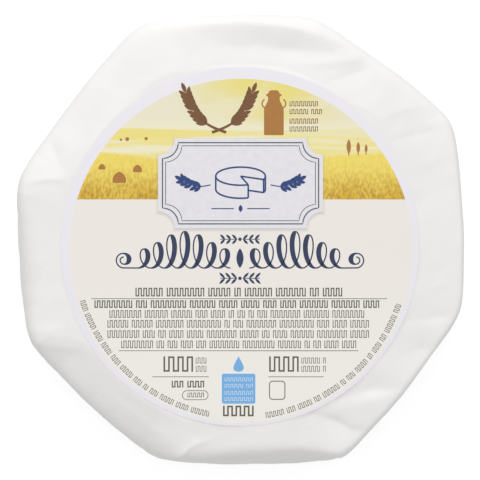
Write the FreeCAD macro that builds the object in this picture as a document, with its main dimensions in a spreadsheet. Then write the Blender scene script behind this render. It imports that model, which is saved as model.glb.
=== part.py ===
"""A small wheel of soft cheese, shut in a folded wrapper, with a round label on top.

Millimetres, +Z up. The origin is on the table, under the middle of the wheel, and +Y is the top of
the label. The wheel is round, but the wrapper that is folded under it stands out from its wall at
eight uneven corner folds, so low down the pack is a rounded octagon. The folds die away up the wall
and the top is nearly a circle. Underneath, the corner folds lie over each other as a pinwheel.
"""
import FreeCAD, Part
import math
import os
import Sketcher

doc = FreeCAD.newDocument("wrapped_cheese_wheel")
sheet = doc.addObject("Spreadsheet::Sheet", "sizes")

# ---------------------------------------------------------------------------------------------
# Driving sizes
# ---------------------------------------------------------------------------------------------
SIZES = {
    "pack_height": 21.6,        # table to the wrapper's flat top
    "pack_reach": 57.0,         # axis to the middle of an average side, where the pack is widest
    "widest_height": 7.0,       # table to where the corner folds stand out furthest
    "waist_drop": 7.6,          # flat top down to where the folds begin to let go of the wall
    "foot_inset": 2.2,          # how far each level is drawn in from the widest one
    "waist_inset": 0.5,
    "top_inset": 1.8,
    "foot_fold": 0.85,          # share of the corner folds' stand-out left at each level
    "waist_fold": 0.7,
    "top_fold": 0.2,
    "round_shortfall": 18.0,    # where no fold is left, a corner's radius is the reach less this
    "shoulder_round": 7.0,      # the wheel's rolled top edge
    "foot_round": 2.6,          # the paper's bend round the wheel's lower edge
    "pleat_start": 9.0,         # axis to the inner end of each pleat under the pack
    "pleat_past": 13.0,         # how far the pleats' lines run on past the reach
    "pleat_twist": 4.0,         # how far each pleat's edge passes the axis, which makes the pinwheel
    "pleat_width": 27.0,        # tucked side of a pleat, at its outer end
    "pleat_step": 0.5,          # layers of paper in a pleat's edge
    "label_land": 2.7,          # bare flat paper between the label and the shoulder
    "label_thickness": 0.15,
    "label_shift_x": 0.1,       # the label isn't stuck on quite centrally
    "label_shift_y": -1.8,
}

# Each side of the octagon, counter-clockwise from +X: the direction it faces, in degrees, how much
# further out it stands than an average side, and the radius of the corner fold that follows it.
SIDES = [
    (3.0, 0.0, 20.0),
    (53.0, 1.2, 36.0),
    (92.0, 0.3, 22.0),
    (142.0, -1.5, 30.0),
    (184.5, -0.4, 19.0),
    (224.0, 0.3, 36.0),
    (271.0, 0.5, 14.5),
    (320.0, 0.3, 36.0),
]
SIDE_COUNT = len(SIDES)
FULL_TURN = 360.0

for number, (facing, stand_out, corner) in enumerate(SIDES, start=1):
    SIZES[f"side_{number}_facing"] = facing
    SIZES[f"side_{number}_stand_out"] = stand_out
    SIZES[f"corner_{number}_round"] = corner

for row, (name, value) in enumerate(SIZES.items(), start=1):
    sheet.set(f"A{row}", name)
    sheet.set(f"B{row}", str(value))
    sheet.setAlias(f"B{row}", name)
doc.recompute()


def size(name):
    """The number in the sheet's cell of that name."""
    return float(sheet.get(name))


# ---------------------------------------------------------------------------------------------
# Helpers
# ---------------------------------------------------------------------------------------------
def origin_plane(body, role):
    """One of the body's own origin planes, such as XY_Plane."""
    return next(feature for feature in body.Origin.OriginFeatures if feature.Role == role)


def new_body(label):
    """An empty body whose Label names its file."""
    body = doc.addObject("PartDesign::Body", label)
    body.Label = label
    return body


def flat_sketch(body, name, height=None):
    """A sketch on the body's XY plane, lifted to the height that an expression gives."""
    sketch = body.newObject("Sketcher::SketchObject", name)
    sketch.AttachmentSupport = [(origin_plane(body, "XY_Plane"), "")]
    sketch.MapMode = "FlatFace"
    if height:
        sketch.setExpression(".AttachmentOffset.Base.z", height)
    return sketch


def edges_at(shape, height, tolerance=1e-4):
    """Names of the edges that lie flat at one height."""
    names = []
    for number, edge in enumerate(shape.Edges, start=1):
        box = edge.BoundBox
        if abs(box.ZMin - height) < tolerance and abs(box.ZMax - height) < tolerance:
            names.append(f"Edge{number}")
    return names


# ---------------------------------------------------------------------------------------------
# The octagon at one level: eight sides, each a known way out, and eight round corners
# ---------------------------------------------------------------------------------------------
class Level:
    """A level of the pack: the expressions for its height, side distances and corner radii.

    inset draws every side in from the widest level. fold, from 0 to 1, is how much of the corner
    folds is left: it scales each side's own stand-out, and blends each corner's radius from the
    fold's own to the large one of a wheel with no fold.
    """

    def __init__(self, name, height, inset, fold):
        self.name = name
        self.height = height
        self.inset = inset
        self.fold = fold

    def side_distance(self, number):
        """Axis to side: the reach less the inset, plus what is left of the side's stand-out."""
        return f"sizes.pack_reach - {self.inset} + {self.fold} * sizes.side_{number}_stand_out"

    def corner_radius(self, number):
        """Corner radius: fold times the fold's own, and the rest of the wheel's."""
        wheel = "(sizes.pack_reach - sizes.round_shortfall)"
        return f"{self.fold} * sizes.corner_{number}_round + (1 - {self.fold}) * {wheel}"


LEVELS = [
    Level("foot", "0", "sizes.foot_inset", "sizes.foot_fold"),
    Level("widest", "sizes.widest_height", "0", "1"),
    Level("waist", "sizes.pack_height - sizes.waist_drop", "sizes.waist_inset", "sizes.waist_fold"),
    Level("top", "sizes.pack_height", "sizes.top_inset", "sizes.top_fold"),
]


def evaluate(expression):
    """The number that an expression on the sheet gives."""
    return float(sheet.evalExpression(expression.replace("sizes.", "")))


def next_side(number):
    """The side that follows, counter-clockwise, and the first one after the last."""
    return number % SIDE_COUNT + 1


def facing_vector(number):
    """Unit vector that a side faces."""
    angle = math.radians(size(f"side_{number}_facing"))
    return FreeCAD.Vector(math.cos(angle), math.sin(angle), 0)


def corner_centre(level, number):
    """Centre of the corner arc after a side: one radius inside that side and the next one."""
    first = facing_vector(number)
    second = facing_vector(next_side(number))
    radius = evaluate(level.corner_radius(number))
    first_inner = evaluate(level.side_distance(number)) - radius
    second_inner = evaluate(level.side_distance(next_side(number))) - radius
    cross = first.x * second.y - first.y * second.x
    x = (first_inner * second.y - second_inner * first.y) / cross
    y = (second_inner * first.x - first_inner * second.x) / cross
    return FreeCAD.Vector(x, y, 0)


def octagon_sketch(body, level):
    """A fully constrained rounded octagon: side directions, side distances and corner radii."""
    sketch = flat_sketch(body, level.name + "_outline", level.height)
    z_axis = FreeCAD.Vector(0, 0, 1)
    numbers = range(1, SIDE_COUNT + 1)
    centres = {number: corner_centre(level, number) for number in numbers}
    radii = {number: evaluate(level.corner_radius(number)) for number in numbers}

    sides = {}
    corners = {}
    for number in numbers:
        before = (number - 2) % SIDE_COUNT + 1
        facing = facing_vector(number)
        start = centres[before] + facing * radii[before]
        end = centres[number] + facing * radii[number]
        sides[number] = sketch.addGeometry(Part.LineSegment(start, end))
        turn_start = math.radians(size(f"side_{number}_facing"))
        turn_end = math.radians(size(f"side_{next_side(number)}_facing"))
        if turn_end < turn_start:
            turn_end += 2 * math.pi
        circle = Part.Circle(centres[number], z_axis, radii[number])
        arc = Part.ArcOfCircle(circle, turn_start, turn_end)
        corners[number] = sketch.addGeometry(arc)

    for number in numbers:
        side = sides[number]
        corner = corners[number]
        following = sides[next_side(number)]
        sketch.addConstraint(Sketcher.Constraint("Tangent", side, 2, corner, 1))
        sketch.addConstraint(Sketcher.Constraint("Tangent", corner, 2, following, 1))

    for number in numbers:
        side = sides[number]
        distance = evaluate(level.side_distance(number))
        direction = math.radians(size(f"side_{number}_facing")) + math.pi / 2
        name_sets = [
            (f"radius_{number}", level.corner_radius(number),
             Sketcher.Constraint("Radius", corners[number], radii[number])),
            (f"distance_{number}", level.side_distance(number),
             Sketcher.Constraint("Distance", -1, 1, side, distance)),
            (f"direction_{number}", f"sizes.side_{number}_facing + 90",
             Sketcher.Constraint("Angle", side, direction)),
        ]
        for name, expression, constraint in name_sets:
            index = sketch.addConstraint(constraint)
            sketch.renameConstraint(index, name)
            sketch.setExpression("Constraints." + name, expression)
    return sketch


# ---------------------------------------------------------------------------------------------
# The shut pack: wheel and folded wrapper, one solid
# ---------------------------------------------------------------------------------------------
pack = new_body("wrapped_cheese")
outlines = [octagon_sketch(pack, level) for level in LEVELS]
doc.recompute()

# The loft runs from the top down: the other way round its faces point inwards, and no edge of it can
# be rounded.
wall = pack.newObject("PartDesign::AdditiveLoft", "folded_wall")
wall.Profile = outlines[-1]
wall.Sections = outlines[-2::-1]
wall.Ruled = False
doc.recompute()

shoulder = pack.newObject("PartDesign::Fillet", "rolled_shoulder")
shoulder.Base = (wall, edges_at(wall.Shape, size("pack_height")))
shoulder.setExpression("Radius", "sizes.shoulder_round")
doc.recompute()

foot = pack.newObject("PartDesign::Fillet", "foot_bend")
foot.Base = (shoulder, edges_at(shoulder.Shape, 0.0))
foot.setExpression("Radius", "sizes.foot_round")
doc.recompute()

# Under the pack each corner fold is laid flat towards the middle, over the one before it. Its edge
# is a step of a few layers of paper, and the paper beside it dips from nothing to that step. So a
# pleat is a thin pyramid cut up into the base: one upright face along the pleat's edge, and a
# ceiling that runs out to nothing at the tucked side's outer end.
pleats = []
for number in range(1, SIDE_COUNT + 1):
    pleat = pack.newObject("PartDesign::SubtractiveWedge", f"pleat_{number}")
    pleat.AttachmentSupport = [(origin_plane(pack, "XY_Plane"), "")]
    pleat.MapMode = "FlatFace"
    outer = "sizes.pack_reach + sizes.pleat_past"
    wrap_round = FULL_TURN if next_side(number) < number else 0.0
    facings = f"sizes.side_{number}_facing + sizes.side_{next_side(number)}_facing"
    pleat.AttachmentOffset = FreeCAD.Placement(
        FreeCAD.Vector(0, 0, 0), FreeCAD.Rotation(FreeCAD.Vector(0, 0, 1), 1.0))
    pleat.setExpression(".AttachmentOffset.Rotation.Angle", f"({facings} + {wrap_round}) / 2")
    bindings = {
        "Xmin": "sizes.pleat_start",
        "Xmax": outer,
        "X2min": outer,
        "X2max": outer,
        "Ymin": "-sizes.pleat_twist",
        "Ymax": "sizes.pleat_width - sizes.pleat_twist",
        "Zmin": "0",
        "Zmax": "sizes.pleat_step",
        "Z2min": "0",
        "Z2max": "0",
    }
    for name, expression in bindings.items():
        pleat.setExpression(name, expression)
    pleats.append(pleat)
doc.recompute()

# ---------------------------------------------------------------------------------------------
# The round paper label, stuck flat on the top
# ---------------------------------------------------------------------------------------------
label = new_body("top_label")
label.setExpression(".Placement.Base.x", "sizes.label_shift_x")
label.setExpression(".Placement.Base.y", "sizes.label_shift_y")
label.setExpression(".Placement.Base.z", "sizes.pack_height")

FLAT_RADIUS = "sizes.pack_reach - sizes.top_inset - sizes.shoulder_round"
disc = flat_sketch(label, "label_outline")
disc.addGeometry(Part.Circle(FreeCAD.Vector(0, 0, 0), FreeCAD.Vector(0, 0, 1), 1.0))
disc.addConstraint(Sketcher.Constraint("Coincident", 0, 3, -1, 1))
disc.renameConstraint(disc.addConstraint(Sketcher.Constraint("Radius", 0, 1.0)), "label_radius")
disc.setExpression("Constraints.label_radius", FLAT_RADIUS + " - sizes.label_land")

paper = label.newObject("PartDesign::Pad", "label_paper")
paper.Profile = disc
paper.setExpression("Length", "sizes.label_thickness")
doc.recompute()

# ---------------------------------------------------------------------------------------------
# Tests on the finished model, then one file for each sub-part
# ---------------------------------------------------------------------------------------------
SUBPARTS = [pack, label]

for item in doc.Objects:
    if {"Invalid", "Error"} & set(item.State):
        raise RuntimeError(f"{item.Name} failed: {item.State}")
for sketch in outlines + [disc]:
    if sketch.solve() != 0 or sketch.FullyConstrained is False:
        raise RuntimeError(f"{sketch.Name} isn't fully constrained")
for before, after in zip([foot] + pleats[:-1], pleats):
    if not after.Shape.Volume < before.Shape.Volume:
        raise RuntimeError(f"{after.Name} cuts nothing")
for body in SUBPARTS:
    shape = body.Shape
    if shape.isNull() or not shape.isValid() or len(shape.Solids) != 1:
        raise RuntimeError(f"{body.Label} isn't one valid solid")

os.makedirs("parts", exist_ok=True)
for body in SUBPARTS:
    body.Shape.exportStep(f"parts/{body.Label}.step")
    box = body.Shape.BoundBox
    volume_cm3 = body.Shape.Volume / 1000
    print(f"{body.Label}: {box.XLength:.2f} x {box.YLength:.2f} x {box.ZLength:.2f} mm, "
          f"{volume_cm3:.1f} cm3, {len(body.Shape.Faces)} faces")
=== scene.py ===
# %% [markdown]
# # A wheel of soft cheese in its folded wrapper
#
# The object is a small round cheese, shut in white coated paper and lying flat with its label up.
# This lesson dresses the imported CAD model: it loads the model as a fixed frame, works out the
# wrapper and the label as surfaces, prints the label with thin shapes of ink, and lights the whole
# plainly. Lengths are written in millimetres and become metres when a mesh is made.

# %% The frame, and the sizes read from it
import math

import bpy
import numpy as np
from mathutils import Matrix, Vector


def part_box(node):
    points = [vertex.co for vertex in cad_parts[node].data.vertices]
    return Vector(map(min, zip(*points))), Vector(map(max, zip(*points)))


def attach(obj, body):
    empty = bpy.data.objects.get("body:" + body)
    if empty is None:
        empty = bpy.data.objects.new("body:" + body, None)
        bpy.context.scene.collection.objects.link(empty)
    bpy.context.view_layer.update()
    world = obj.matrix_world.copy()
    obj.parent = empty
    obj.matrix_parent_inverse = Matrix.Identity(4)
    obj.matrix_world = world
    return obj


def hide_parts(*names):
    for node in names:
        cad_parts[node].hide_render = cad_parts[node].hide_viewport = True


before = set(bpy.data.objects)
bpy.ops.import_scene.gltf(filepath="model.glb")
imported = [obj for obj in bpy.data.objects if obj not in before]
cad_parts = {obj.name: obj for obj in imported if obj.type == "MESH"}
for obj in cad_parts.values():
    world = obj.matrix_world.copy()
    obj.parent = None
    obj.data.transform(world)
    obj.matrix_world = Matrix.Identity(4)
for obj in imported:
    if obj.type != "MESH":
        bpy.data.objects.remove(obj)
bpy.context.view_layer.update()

MM = 0.001
wrapper_corners = np.array(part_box("wrapped_cheese")) / MM
label_low, label_high = np.array(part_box("top_label")) / MM
PACK_HEIGHT = wrapper_corners[1, 2]
LABEL_TOP = label_high[2]
LABEL_CENTRE = (label_low[:2] + label_high[:2]) / 2
LABEL_RADIUS = (label_high[0] - label_low[0]) / 2
print("pack height", PACK_HEIGHT, "label radius", LABEL_RADIUS, "label centre", LABEL_CENTRE)

# %% [markdown]
# ## Putting a surface into a mesh
#
# Paper could be modelled by hand from a disc, but a formula says where each fold comes from and is
# easy to change. So each piece is worked out as whole numpy arrays. One helper takes the points and
# the corner numbers of the faces and makes an object that sits at the origin, so that a pattern on
# Object coordinates is a pattern in the object's own millimetres.


# %% Mesh helper
def make_piece(name, points, faces, finish, sharp_degrees=None):
    """An object from points in millimetres and a list of faces, riding on the one body."""
    mesh = bpy.data.meshes.new(name)
    mesh.from_pydata((points * MM).tolist(), [], faces)
    mesh.validate()
    mesh.materials.append(finish)
    if sharp_degrees is not None:
        mesh.shade_smooth()
        mesh.set_sharp_from_angle(angle=math.radians(sharp_degrees))
    piece = bpy.data.objects.new(name, mesh)
    bpy.context.scene.collection.objects.link(piece)
    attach(piece, "root")
    print(name, len(points), "points,", len(faces), "faces")
    return piece


def smoothstep(low, high, value):
    """0 below low, 1 above high, and 3t^2 - 2t^3 between them."""
    t = np.clip((value - low) / (high - low), 0, 1)
    return t * t * (3 - 2 * t)


# %% [markdown]
# ## Shader maths as Python expressions
#
# A finish is easier to read as a formula than as a web of nodes. Field wraps a node's socket, and
# its operators add the Math nodes. Every other node comes from one method, which sets the node's
# settings first and then its sockets.


# %% A socket that calculates
class Field:
    """A number or colour that varies over a surface."""

    def __init__(self, graph, socket):
        self.graph = graph
        self.socket = socket

    def math(self, operation, *others):
        """The result of a Math node on this field and the others."""
        return self.graph.node("ShaderNodeMath", {"operation": operation}, [self, *others])

    def __add__(self, other):
        return self.math("ADD", other)

    def __sub__(self, other):
        return self.math("SUBTRACT", other)

    def __rsub__(self, other):
        return self.graph.node("ShaderNodeMath", {"operation": "SUBTRACT"}, [other, self])

    def __mul__(self, other):
        return self.math("MULTIPLY", other)

    __radd__ = __add__
    __rmul__ = __mul__

    def step(self, low, high):
        """A smooth step from 0 at low to 1 at high."""
        settings = {"interpolation_type": "SMOOTHSTEP"}
        return self.graph.node("ShaderNodeMapRange", settings, [self, low, high, 0.0, 1.0])


# %% The nodes of a material or of the world
class Graph:
    """A node tree, and one method that adds any node to it."""

    def __init__(self, tree):
        self.nodes = tree.nodes
        self.links = tree.links

    def node(self, kind, settings, values, output=0):
        """A node of that kind, its settings made first and then its sockets; gives one output."""
        node = self.nodes.new(kind)
        for key, value in settings.items():
            setattr(node, key, value)
        sockets = values.items() if isinstance(values, dict) else enumerate(values)
        for key, value in sockets:
            if isinstance(value, Field):
                self.links.new(value.socket, node.inputs[key])
            else:
                node.inputs[key].default_value = value
        return Field(self, node.outputs[output])

    def seen_directly(self):
        """1 for what the camera or a mirror sees, 0 for the light that falls on things."""
        camera = self.node("ShaderNodeLightPath", {}, [], "Is Camera Ray")
        outputs = camera.socket.node.outputs
        glossy = Field(self, outputs["Is Glossy Ray"])
        through = Field(self, outputs["Is Transmission Ray"])
        return camera.math("MAXIMUM", glossy).math("MAXIMUM", through)


# %% A finish under construction
class Finish(Graph):
    """A material: the shader's own sockets, and the fields that feed them."""

    def __init__(self, name, roughness):
        self.material = bpy.data.materials.new(name)
        self.material.use_nodes = True
        super().__init__(self.material.node_tree)
        self.shader = self.nodes["Principled BSDF"]
        self.shader.inputs["Roughness"].default_value = roughness

    def position(self, stretch=(1, 1, 1)):
        """Object coordinates in millimetres, each axis multiplied by its stretch."""
        metres = self.node("ShaderNodeTexCoord", {}, [], "Object")
        per_metre = tuple(axis / MM for axis in stretch)
        return self.node("ShaderNodeVectorMath", {"operation": "MULTIPLY"}, [metres, per_metre])

    def axes(self, vector):
        """The three numbers of a vector."""
        outputs = self.node("ShaderNodeSeparateXYZ", {}, [vector]).socket.node.outputs
        return [Field(self, outputs[axis]) for axis in "XYZ"]

    def noise(self, vector, per_mm, detail=2.0):
        """Soft noise from 0 to 1 with that many features in a millimetre."""
        values = {"Vector": vector, "Scale": per_mm, "Detail": detail}
        return self.node("ShaderNodeTexNoise", {}, values, "Fac")

    def mix(self, amount, first, second):
        """A colour from first, at 0, to second, at 1."""
        values = {0: amount, 6: first, 7: second}
        return self.node("ShaderNodeMix", {"data_type": "RGBA"}, values, 2)

    def feed(self, name, field):
        """Links a field to one of the shader's own sockets."""
        self.links.new(field.socket, self.shader.inputs[name])

    def bump(self, height, depth_mm):
        """Relief too fine for the mesh: height from 0 to 1, over that depth."""
        values = {"Distance": depth_mm * MM, "Height": height}
        self.feed("Normal", self.node("ShaderNodeBump", {}, values))


# %% Colours
def srgb(red, green, blue):
    """A colour as a paint chart gives it, from 0 to 255, in the linear form that a shader wants."""
    chart = np.array([red, green, blue]) / 255
    linear = np.where(chart <= 0.04045, chart / 12.92, ((chart + 0.055) / 1.055) ** 2.4)
    return (*linear.tolist(), 1.0)


print("mid grey in linear form", round(srgb(128, 128, 128)[0], 3))

# %% [markdown]
# ## The wrapper's outline
#
# A machine folds the paper under the wheel at eight corners, so the pack is a rounded octagon from
# above. Each side is not quite straight: it is an arc of a very large circle. The outline is the
# soft minimum of the eight circles, which rounds the corners by itself. The power sets how tightly.

# %% The eight sides
SIDES = [  # the direction each side faces, and its distance from the axis
    (2.2, 56.9),
    (54.2, 57.8),
    (91.3, 57.25),
    (142.8, 55.3),
    (184.0, 56.4),
    (226.9, 56.8),
    (269.5, 57.4),
    (322.3, 56.8),
]
CORNERS = [29.6, 71.4, 113.9, 165.9, 206.3, 249.4, 295.0, 342.4]
SIDE_BOW = 250.0  # radius of each side's own arc
CORNER_POWER = 57.0  # how tightly the corners turn
corner_angle = np.radians(CORNERS)


def outline(angle):
    """Polar radius of the pack at its widest.

    A side is a circle of radius b whose nearest point is at distance d, facing f. Its polar radius
    is (d - b) cos(a - f) + sqrt(b^2 - ((d - b) sin(a - f))^2). The outline is the sum of the eight
    radii to the power -p, to the power -1/p.
    """
    facing, distance = np.array(SIDES).T
    turn = angle[..., None] - np.radians(facing)
    inner = distance - SIDE_BOW
    radii = inner * np.cos(turn) + np.sqrt(SIDE_BOW**2 - (inner * np.sin(turn)) ** 2)
    return np.sum(radii**-CORNER_POWER, axis=-1) ** (-1 / CORNER_POWER)


sample = np.linspace(0, 2 * math.pi, 720, endpoint=False)
print("outline from", outline(sample).min().round(2), "to", outline(sample).max().round(2))

# %% [markdown]
# ## Columns that follow the folds
#
# The paper's folds are steps, one layer over the next. A step is crisp only where the grid has a
# line on each side of it, so the columns of the grid are shared out between the corners, and two
# columns that almost touch stand at each corner. Under the pack the columns twist, because the
# folded corners lie as a pinwheel.

# %% Columns
SECTOR_COLUMNS = 104
SLIVER = math.radians(0.05)  # half the gap between the two columns at a fold
sector_ends = np.append(corner_angle[1:], corner_angle[0] + 2 * math.pi)
sector_span = sector_ends - corner_angle
within = np.linspace(0, 1, SECTOR_COLUMNS)
column_angle = (
    (corner_angle + SLIVER)[:, None] + (sector_span - 2 * SLIVER)[:, None] * within
).ravel()
column_within = np.tile(within, len(CORNERS))
rim = outline(column_angle)
print(len(column_angle), "columns")

# %% [markdown]
# ## The profile from the top to the foot
#
# Down each column the paper runs flat under the label, slopes out over the shoulder, turns down at
# the rim, stands out to the widest line, and bends in to the foot. Both turns are quarters of a
# superellipse, whose power says how boxy they are, because a round bevel can't be flat on top and
# tight at the rim. The shoulder droops by the most where the paper spans from the top down to a
# fold and touches nothing between. Where the paper was pulled tight, the wall leans in, which draws
# the top of the rim in from the widest line.

# %% Sizes of the profile
PAPER_TOP = PACK_HEIGHT - 0.02  # the paper under the label
BESIDE_LABEL = 0.15  # where the flat ends, outside the label's edge
SINK = 0.08  # how far bare paper lies below the paper under the label
SINK_SHARE = 0.4  # share of the shoulder over which it sinks
DROOP_START = 0.04  # share of the shoulder over which the droop sets in
SIDE_WIDEST = 8.0  # height of the widest line on a side
CORNER_DROP = 2.5  # how much lower it lies at the sharpest corner
WHEEL_REACH = 56.0  # axis to the wall where nothing stands out
FOLD_REACH = 5.0  # how much further than the wheel the sharpest corner stands
FOOT_RUN = 5.0  # how far the foot is drawn in
FOOT_POWER = 3.0  # boxiness of the foot
TOP_HUB = 2.0  # radius of the innermost row on top
UNDER_HUB = 1.5  # and of the innermost row underneath
print("the widest line lies", SIDE_WIDEST - CORNER_DROP, "to", SIDE_WIDEST, "mm up")

# %% How the shoulder changes round the pack
SHOULDER = [  # direction; droop from the label's edge to the rim; boxiness of the rim; its lean
    (2, 0.4, 20, 0),
    (22, 0.7, 20, 0),
    (32, 1.9, 14, 0),
    (54, 2.2, 10, 0),
    (72, 1.2, 9, 0),
    (91, 0.5, 9, 0),
    (104, 1.2, 9, 0),
    (114, 2.5, 8, 0),
    (143, 3.8, 9, 0),
    (158, 2.8, 8, 0),
    (168, 1.0, 8, 0),
    (176, 1.0, 5, 0.1),
    (184, 1.0, 4, 0.2),
    (192, 1.0, 4, 0.2),
    (198, 0.9, 5, 0.1),
    (207, 0.8, 9, 0),
    (215, 3.0, 9, 0),
    (227, 4.5, 8, 0),
    (245, 4.3, 7, 0),
    (254, 0.8, 7, 0.5),
    (258, 0.4, 7, 0.7),
    (262, 0.1, 7, 1.2),
    (270, 0.2, 7, 2.3),
    (280, 0.2, 8, 2.9),
    (286, 0.2, 9, 2.8),
    (291, 0.1, 10, 1.6),
    (295, 0.1, 14, 0.2),
    (300, 0.2, 16, 0),
    (342, 0.4, 20, 0),
]
print(len(SHOULDER), "directions in which the shoulder is known")

# %% The shoulder in each column
widest = SIDE_WIDEST - CORNER_DROP * smoothstep(0, 1, (rim - WHEEL_REACH) / FOLD_REACH)
known_angle, *known_shapes = np.array(SHOULDER).T
droop, roll_power, lean = (
    np.interp(np.degrees(column_angle), known_angle, known, period=360) for known in known_shapes
)
toward = LABEL_CENTRE[0] * np.cos(column_angle) + LABEL_CENTRE[1] * np.sin(column_angle)
aside = LABEL_CENTRE[1] * np.cos(column_angle) - LABEL_CENTRE[0] * np.sin(column_angle)
flat_end = toward + np.sqrt((LABEL_RADIUS + BESIDE_LABEL) ** 2 - aside**2)
print("the flat ends", flat_end.min().round(2), "to", flat_end.max().round(2), "mm from the axis")


# %% Rows of the base surface
def quarter(count, power):
    """Superellipse x^n + y^n = 1 by its polar angle: x from 0 to 1 while y goes from 1 to 0."""
    t = np.linspace(0, math.pi / 2, count)[:, None]
    size = (np.sin(t) ** power + np.cos(t) ** power) ** (-1 / power)
    return np.sin(t) * size, np.cos(t) * size


def top_rows(count):
    """Flat paper, from near the centre to just outside the label's edge."""
    radius = TOP_HUB + (flat_end - TOP_HUB) * np.linspace(0, 1, count + 1)[:-1, None]
    return radius, np.full_like(radius, PAPER_TOP)


def roll_rows(count):
    """Shoulder: out and up round the superellipse, less the droop, the sink and the lean."""
    out, up = quarter(count, roll_power)
    fall = droop * out**2 / (out + DROOP_START) + SINK * smoothstep(0, SINK_SHARE, out)
    radius = flat_end + (rim - flat_end - lean * up) * out
    return radius, widest + (PAPER_TOP - widest - fall) * up


def foot_rows(count):
    """Lower wall and foot: the same kind of curve, from the widest line down and in."""
    down, out = (half[1:] for half in quarter(count, FOOT_POWER))
    return rim - FOOT_RUN * (1 - out), widest * (1 - down)


def under_rows(count):
    """Flat underside, from the foot in to near the centre."""
    share = np.linspace(0, 1, count + 1)[1:, None]
    start = rim - FOOT_RUN
    radius = start + (UNDER_HUB - start) * share
    return radius, np.zeros_like(radius)


# %% All rows together
ROW_GROUPS = [top_rows(5), roll_rows(60), foot_rows(22), under_rows(26)]
row_radius = np.vstack([group[0] for group in ROW_GROUPS])
row_height = np.vstack([group[1] for group in ROW_GROUPS])
TOP_ROWS, ROLL_ROWS, FOOT_ROWS = (len(group[0]) for group in ROW_GROUPS[:3])
WIDEST_ROW = TOP_ROWS + ROLL_ROWS - 1
UNDER_START = TOP_ROWS + ROLL_ROWS + FOOT_ROWS
print(len(row_radius), "rows,", row_radius.size * 2, "triangles")

# %% [markdown]
# ## The pinwheel's twist
#
# Each pleat under the pack is a straight fold that passes a little to one side of the axis. On a
# polar grid such a line turns by the arctangent of that distance over the radius, so every column
# turns by that much as it runs in.

# %% Base points and normals
PLEAT_TWIST = 4.0  # how far each pleat's edge passes the axis

twist = np.zeros_like(row_radius)
under = slice(UNDER_START, None)
twist[under] = np.arctan2(PLEAT_TWIST, row_radius[UNDER_START - 1]) - np.arctan2(
    PLEAT_TWIST, row_radius[under]
)
row_angle = column_angle + twist
base = np.stack(
    [row_radius * np.cos(row_angle), row_radius * np.sin(row_angle), row_height], axis=-1
)


def grid_normals(points):
    """Outward unit normals: the cross product of the steps along a column and along a row."""
    down = np.gradient(points, axis=0)
    round_ = np.roll(points, -1, axis=1) - np.roll(points, 1, axis=1)
    normal = np.cross(down, round_)
    return normal / np.maximum(np.linalg.norm(normal, axis=-1, keepdims=True), 1e-12)


normals = grid_normals(base)
print("normal on top", normals[0, 0].round(3), "and at the widest", normals[WIDEST_ROW, 0].round(3))

# %% [markdown]
# ## Creases
#
# Folding leaves ridges and hollows on the shoulder. A ridge runs in from nearly every corner and
# swings a few degrees to one side, where the corner was pulled round, and one long ridge stands
# behind the rim at the top, where the paper has sunk inside it. A cloth simulation would put the
# creases where it likes, so each crease is a bent line on the plan instead. Its section is a
# softened tent, which may fall away faster to one side than to the other.

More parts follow.
